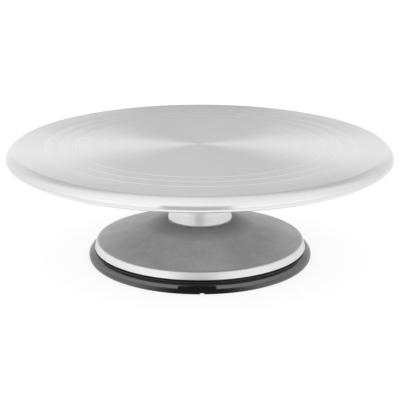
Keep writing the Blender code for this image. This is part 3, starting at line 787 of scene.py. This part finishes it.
def make_races(level, height, materials):
    """Ground rings with a polished ball groove."""
    corners = [(RACE_INNER, HALF_WIDTH, 0.5 * MM), (RACE_LAND_INNER, HALF_WIDTH, 0.2 * MM)]
    corners += groove_arc(RACE_LAND_INNER, 1)
    corners += [(RACE_LAND_INNER, -HALF_WIDTH, 0.2 * MM), (RACE_INNER, -HALF_WIDTH, 0.5 * MM)]
    turned(f"{level}_inner_ring", corners, MEDIUM, [materials["bearing"]], "base",
           f"{level}_inner_race", height)
    corners = [(RACE_LAND_OUTER, HALF_WIDTH, 0.2 * MM), (BEARING_RADIUS, HALF_WIDTH, 0.6 * MM),
               (BEARING_RADIUS, -HALF_WIDTH, 0.6 * MM), (RACE_LAND_OUTER, -HALF_WIDTH, 0.2 * MM)]
    corners += groove_arc(RACE_LAND_OUTER, -1)
    turned(f"{level}_outer_ring", corners, MEDIUM, [materials["bearing"]], "turntable",
           f"{level}_outer_race", height)


def make_shields(level, height, materials):
    """Pressed dust shields with a raised step near their outer edge."""
    profile = [(12.6, 5.70), (14.9, 5.70), (15.2, 5.55), (16.1, 5.55),
               (16.1, 5.20), (15.2, 5.20), (14.9, 5.35), (12.6, 5.35)]
    upper = [(r * MM, z * MM, 0.08 * MM) for r, z in profile]
    lower = [(r, -z, rounding) for r, z, rounding in reversed(upper)]
    for side, corners in (("top", upper), ("bottom", lower)):
        turned(f"{level}_dust_shield_{side}", corners, MEDIUM, [materials["shield"]], "turntable",
               f"{level}_shield_{side}", height)


def make_cage_mesh(materials):
    """A crown cage: a turned band with a round pocket for each ball and a valley between."""
    half = 1.0 * MM
    top = 2.4 * MM
    bottom = -4.57 * MM
    band = spin_mesh("cage", rounded([
        (PITCH_RADIUS - half, top, 0.15 * MM), (PITCH_RADIUS + half, top, 0.15 * MM),
        (PITCH_RADIUS + half, bottom, 0.2 * MM), (PITCH_RADIUS - half, bottom, 0.2 * MM)]), MEDIUM)
    bm = bmesh.new()
    for number in range(BALL_COUNT):
        turn = 2 * pi * number / BALL_COUNT
        pocket = bmesh.ops.create_uvsphere(bm, u_segments=40, v_segments=24, radius=3.62 * MM)
        place = (PITCH_RADIUS * cos(turn), PITCH_RADIUS * sin(turn), 0)
        bmesh.ops.translate(bm, vec=place, verts=pocket["verts"])
    pockets = bpy.data.meshes.new("pockets")
    bm.to_mesh(pockets)
    bm.free()
    bm = bmesh.new()
    for number in range(BALL_COUNT):
        turn = 2 * pi * (number + 0.5) / BALL_COUNT
        valley = bmesh.ops.create_cone(bm, cap_ends=True, segments=24, radius1=1.5 * MM,
                                       radius2=1.5 * MM, depth=8 * MM)
        across = Matrix.Rotation(turn, 4, "Z") @ Matrix.Translation((PITCH_RADIUS, 0, top + 0.4 * MM))
        bmesh.ops.transform(bm, matrix=across @ Matrix.Rotation(pi / 2, 4, "Y"), verts=valley["verts"])
    valleys = bpy.data.meshes.new("valleys")
    bm.to_mesh(valleys)
    bm.free()
    mesh = boolean(boolean(band, pockets, "DIFFERENCE"), valleys, "DIFFERENCE")
    mesh.materials.clear()
    return finish_mesh(mesh, [materials["cage"]])


def make_ball_mesh(materials):
    bm = bmesh.new()
    bmesh.ops.create_uvsphere(bm, u_segments=40, v_segments=20, radius=3.37 * MM)
    mesh = bpy.data.meshes.new("ball")
    bm.to_mesh(mesh)
    bm.free()
    return finish_mesh(mesh, [materials["ball"]])


def make_bearings(materials):
    """Both bearings: rings, shields, crown cage and eight balls each."""
    cage = make_cage_mesh(materials)
    ball = make_ball_mesh(materials)
    for level in ("lower", "upper"):
        low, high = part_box(f"{level}_inner_race")
        height = (low.z + high.z) / 2
        body = f"{level}_ball_train"
        make_races(level, height, materials)
        make_shields(level, height, materials)
        add_piece(f"{level}_crown", cage, body, f"{level}_cage", (0, 0, height))
        for number in range(1, BALL_COUNT + 1):
            low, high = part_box(f"{level}_ball_{number}")
            add_piece(f"{level}_steel_ball_{number}", ball, body, f"{level}_ball_{number}",
                      (low + high) / 2)


def make_spacers(materials):
    for side, inner, outer, body in (("inner", 8.5 * MM, 11.1 * MM, "base"),
                                     ("outer", 17.4 * MM, 20.0 * MM, "turntable")):
        low, high = (corner.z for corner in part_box(f"{side}_spacer"))
        corners = [(inner, high, 0.3 * MM), (outer, high, 0.4 * MM),
                   (outer, low, 0.4 * MM), (inner, low, 0.3 * MM)]
        turned(f"{side}_sleeve", corners, MEDIUM, [materials["spindle"]], body,
               f"{side}_spacer")


def make_dust_seal(materials):
    """The lip seal: ribbed back in the hub's mouth, groove below, thin lip at the shoulder."""
    low, high = (corner.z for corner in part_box("dust_seal"))
    outer = SEAL_BORE - GAP
    corners = [(15.6 * MM, high, 0.2 * MM), (outer, high, 0.4 * MM)]
    for level in (0.7, 0.45, 0.2):
        height = low + level * (high - low)
        corners += [(outer, height + 0.3 * MM, 0), (outer - 0.2 * MM, height, 0),
                    (outer, height - 0.3 * MM, 0)]
    corners += [(outer, low, 0.3 * MM), (17.4 * MM, low, 0.2 * MM), (16.7 * MM, low + 0.9 * MM, 0.3 * MM),
                (16.0 * MM, low, 0.2 * MM), (14.4 * MM, low, 0.1 * MM), (14.4 * MM, low + MM, 0.1 * MM)]
    turned("lip_seal", corners, MEDIUM, [materials["seal"]], "turntable", "dust_seal")


def clip_edge(radius, lug_radius):
    """One edge of an open clip, easing into a wider or narrower lug at each end."""
    points = []
    steps = 120
    opening = 16
    for step in range(steps + 1):
        turned_by = step / steps
        from_end = min(turned_by, 1 - turned_by) * (360 - 2 * opening)
        ease = min(1.0, max(0.0, (17 - from_end) / 5))
        edge = radius + (lug_radius - radius) * (3 - 2 * ease) * ease * ease
        angle = radians(opening + (360 - 2 * opening) * turned_by)
        points.append((edge * cos(angle), edge * sin(angle)))
    return points


def make_clip(name, node, body, outer_edge, inner_edge, hole_radius, materials):
    """A snap ring with a pliers hole in each lug and stamped, rounded edges."""
    low, high = (corner.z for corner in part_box(node))
    mesh = prism_mesh(outer_edge + inner_edge[::-1], low, high)
    turn = radians(22)
    places = [(hole_radius * cos(turn), way * hole_radius * sin(turn)) for way in (-1, 1)]
    mesh = boolean(mesh, peg_mesh(places, 0.7 * MM, low - MM, high + MM, 24), "DIFFERENCE")
    mesh = bevel_mesh(mesh, 0.15 * MM, 2, 60)
    mesh.materials.clear()
    finish_mesh(mesh, [materials["spring"]])
    add_piece(name, mesh, body, node)


def make_clips(materials):
    make_clip("shaft_circlip", "spindle_clip", "base", clip_edge(10.5 * MM, 11.5 * MM),
              clip_edge(7.6 * MM, 7.6 * MM), 9.6 * MM, materials)
    make_clip("bore_circlip", "hub_clip", "turntable", clip_edge(21.1 * MM, 21.1 * MM),
              clip_edge(18.0 * MM, 16.5 * MM), 18.6 * MM, materials)


# --------------------------------------------------------------------- studio

# Camera
TARGET = Vector((0, 0, 49.8 * MM))
CAMERA_DISTANCE = 1.0496
CAMERA_RISE = 16.68
LENS = 113.14

# The tent's level against the sine of the height, for four headings, and where they change
FRONT_TENT = ((0.0, 0.99), (0.12, 0.97), (0.32, 0.84), (0.60, 0.86), (0.95, 0.78))
SIDES = ((0.0, 0.78), (0.35, 0.74), (0.60, 0.76), (1.0, 0.76))
BACK_SIDES = ((0.0, 0.68), (0.40, 0.64), (0.73, 0.50), (1.0, 0.76))
STRAIGHT_BACK = ((0.0, 0.76), (0.32, 0.76), (0.50, 0.39), (0.66, 0.38), (0.82, 0.62), (1.0, 0.78))
TO_SIDES = (-0.60, 0.15)
TO_BACK_SIDES = (0.20, 0.70)
TO_STRAIGHT_BACK = (0.84, 0.97)
TENT_LEAN = (1.29, 1.21)            # the left of the tent against its right
LEAN_SPAN = (-0.3, 0.3)

# Floor: its own glow and how that falls off with the radius
FLOOR_SIZE = 9.0
BOUNCE_GLOW = (0.34, 0.04)
BOUNCE_REACH = (0.18, 0.55)

# Dim sheets that only reflections see; the veil and the foot shade fade sideways
FRONT_CARD = {"width": 0.222, "bottom": 0.0, "top": 0.184, "x": -0.015, "y": -0.40, "glow": 0.50}
LOW_CARD = {"width": 0.032, "bottom": 0.0, "top": 0.0108, "x": -0.0025, "y": -0.0946, "glow": 0.05}
VEIL_PLACE = (0.0, 0.30, 0.122)
VEIL_SIZE = (0.26, 0.046)
VEIL_GLOW = 0.16
VEIL_FULL = 0.035
VEIL_END = 0.12
FOOT_SHADE_SIZE = (0.13, 0.23)
FOOT_SHADE_GLOW = 0.06
FOOT_SHADE_FULL = 0.018
FOOT_SHADE_END = 0.060


def make_plane(name, size, colour, glow, location, rotation=(0, 0, 0)):
    """A matt sheet of the studio that also glows by itself."""
    bm = bmesh.new()
    bmesh.ops.create_grid(bm, x_segments=1, y_segments=1, size=0.5)
    bmesh.ops.scale(bm, vec=(size[0], size[1], 1), verts=bm.verts)
    mesh = bpy.data.meshes.new(name)
    bm.to_mesh(mesh)
    bm.free()
    material, _, shader = start_material(name, (colour, colour, colour), 1.0, 0.0)
    shader.inputs["Specular IOR Level"].default_value = 0.0
    shader.inputs["Emission Color"].default_value = (1, 1, 1, 1)
    shader.inputs["Emission Strength"].default_value = glow
    mesh.materials.append(material)
    plane = bpy.data.objects.new(name, mesh)
    bpy.context.collection.objects.link(plane)
    plane.location = location
    plane.rotation_euler = rotation
    return plane


def reflections_only(card):
    """Hide a sheet from the camera, from diffuse light and from shadow rays."""
    card.visible_camera = False
    card.visible_diffuse = False
    card.visible_shadow = False


def thin_sides(card, full, end):
    """Let a card fade to nothing towards its left and right ends."""
    tree = card.data.materials[0].node_tree
    place = add_node(tree, "ShaderNodeSeparateXYZ", {"Vector": object_point(tree)}).outputs["X"]
    reach = add_node(tree, "ShaderNodeMath", {0: place}, operation="ABSOLUTE").outputs[0]
    thick = add_node(tree, "ShaderNodeMapRange", {"Value": reach, "From Min": full, "From Max": end,
                                                  "To Min": 1.0, "To Max": 0.0},
                     interpolation_type="SMOOTHSTEP")
    tree.links.new(thick.outputs["Result"], tree.nodes["Principled BSDF"].inputs["Alpha"])


def make_floor():
    """A pale sheet that only the camera sees, over one that the object sees and is lit by."""
    seen = make_plane("floor", (FLOOR_SIZE, FLOOR_SIZE), 0.25, 0.86, (0, 0, 0))
    seen.visible_diffuse = False
    seen.visible_glossy = False
    seen.visible_shadow = False
    bounce = make_plane("bounce_floor", (FLOOR_SIZE, FLOOR_SIZE), 0.92, 0.0, (0, 0, -MM))
    bounce.visible_camera = False
    tree = bounce.data.materials[0].node_tree
    glow = spread(tree, radius_value(tree), *BOUNCE_GLOW, *BOUNCE_REACH)
    tree.links.new(glow, tree.nodes["Principled BSDF"].inputs["Emission Strength"])
    shade = make_plane("foot_shade", FOOT_SHADE_SIZE, 0.0, FOOT_SHADE_GLOW, (0, 0, -0.5 * MM))
    thin_sides(shade, FOOT_SHADE_FULL, FOOT_SHADE_END)
    reflections_only(shade)


def add_ramp(tree, value, stops):
    """A smooth curve through (place, level) stops."""
    node = add_node(tree, "ShaderNodeValToRGB", {"Fac": value})
    ramp = node.color_ramp
    ramp.interpolation = "EASE"
    ramp.elements[0].position = stops[0][0]
    ramp.elements[1].position = stops[-1][0]
    for place, _ in stops[1:-1]:
        ramp.elements.new(place)
    for element, (_, level) in zip(ramp.elements, stops):
        element.color = (level, level, level, 1.0)
    return node.outputs["Color"]


def fade(tree, value, span, first, second):
    """Go smoothly from the first level to the second as the value crosses the span."""
    share = add_node(tree, "ShaderNodeMapRange", {"Value": value, "From Min": span[0],
                                                  "From Max": span[1]},
                     interpolation_type="SMOOTHSTEP")
    mixed = add_node(tree, "ShaderNodeMix", {0: share.outputs["Result"], 2: first, 3: second},
                     data_type="FLOAT")
    return mixed.outputs[0]


def make_world():
    """White to the camera; to the object, a tent with its own level for each direction."""
    world = bpy.data.worlds.new("studio")
    world.use_nodes = True
    tree = world.node_tree
    tree.nodes.clear()
    direction = add_node(tree, "ShaderNodeTexCoord").outputs["Generated"]
    parts = add_node(tree, "ShaderNodeSeparateXYZ", {"Vector": direction})
    flat = add_node(tree, "ShaderNodeVectorMath", {0: direction, 1: (1, 1, 0)}, operation="MULTIPLY")
    heading = add_node(tree, "ShaderNodeVectorMath", {0: flat.outputs[0]}, operation="NORMALIZE")
    sides = add_node(tree, "ShaderNodeSeparateXYZ", {"Vector": heading.outputs[0]})
    ahead = sides.outputs["Y"]
    levels = [add_ramp(tree, parts.outputs["Z"], stops)
              for stops in (FRONT_TENT, SIDES, BACK_SIDES, STRAIGHT_BACK)]
    tent = fade(tree, ahead, TO_SIDES, levels[0], levels[1])
    tent = fade(tree, ahead, TO_BACK_SIDES, tent, levels[2])
    tent = fade(tree, ahead, TO_STRAIGHT_BACK, tent, levels[3])
    lean = spread(tree, sides.outputs["X"], *TENT_LEAN, *LEAN_SPAN)
    lit = scaled(tree, tent, lean)
    seen = add_node(tree, "ShaderNodeLightPath").outputs["Is Camera Ray"]
    strength = add_node(tree, "ShaderNodeMix", {0: seen, 2: lit, 3: 1.0},
                        data_type="FLOAT")
    background = add_node(tree, "ShaderNodeBackground", {"Color": (1, 1, 1, 1),
                                                         "Strength": strength.outputs[0]})
    output = add_node(tree, "ShaderNodeOutputWorld")
    tree.links.new(background.outputs[0], output.inputs["Surface"])
    bpy.context.scene.world = world


def make_card(name, width, bottom, top, x, y, glow):
    """An upright dim card that only shows in reflections."""
    place = (x, y, (bottom + top) / 2)
    card = make_plane(name, (width, top - bottom), 0.0, glow, place, (pi / 2, 0, 0))
    reflections_only(card)


def make_veil():
    """A dim card behind the plate that thins out to its sides; it only shows in reflections."""
    veil = make_plane("back_veil", VEIL_SIZE, 0.0, VEIL_GLOW, VEIL_PLACE, (pi / 2, 0, 0))
    thin_sides(veil, VEIL_FULL, VEIL_END)
    reflections_only(veil)


def make_camera():
    camera = bpy.data.cameras.new("camera")
    camera.lens = LENS
    camera.sensor_width = 36
    eye = bpy.data.objects.new("camera", camera)
    bpy.context.collection.objects.link(eye)
    rise = radians(CAMERA_RISE)
    eye.location = TARGET + CAMERA_DISTANCE * Vector((0, -cos(rise), sin(rise)))
    eye.rotation_euler = (pi / 2 - rise, 0, 0)
    bpy.context.scene.camera = eye


def make_studio():
    make_world()
    make_floor()
    make_card("front_card", **FRONT_CARD)
    make_card("low_card", **LOW_CARD)
    make_veil()
    make_camera()
    bpy.context.scene.view_settings.view_transform = "Standard"


def main():
    materials = make_materials()
    make_studio()
    make_plate(materials)
    make_hub(materials)
    make_base(materials)
    make_rubber_ring(materials)
    make_spindle(materials)
    make_washers(materials)
    make_nut(materials)
    make_screws(materials)
    make_bearings(materials)
    make_spacers(materials)
    make_dust_seal(materials)
    make_clips(materials)


main()
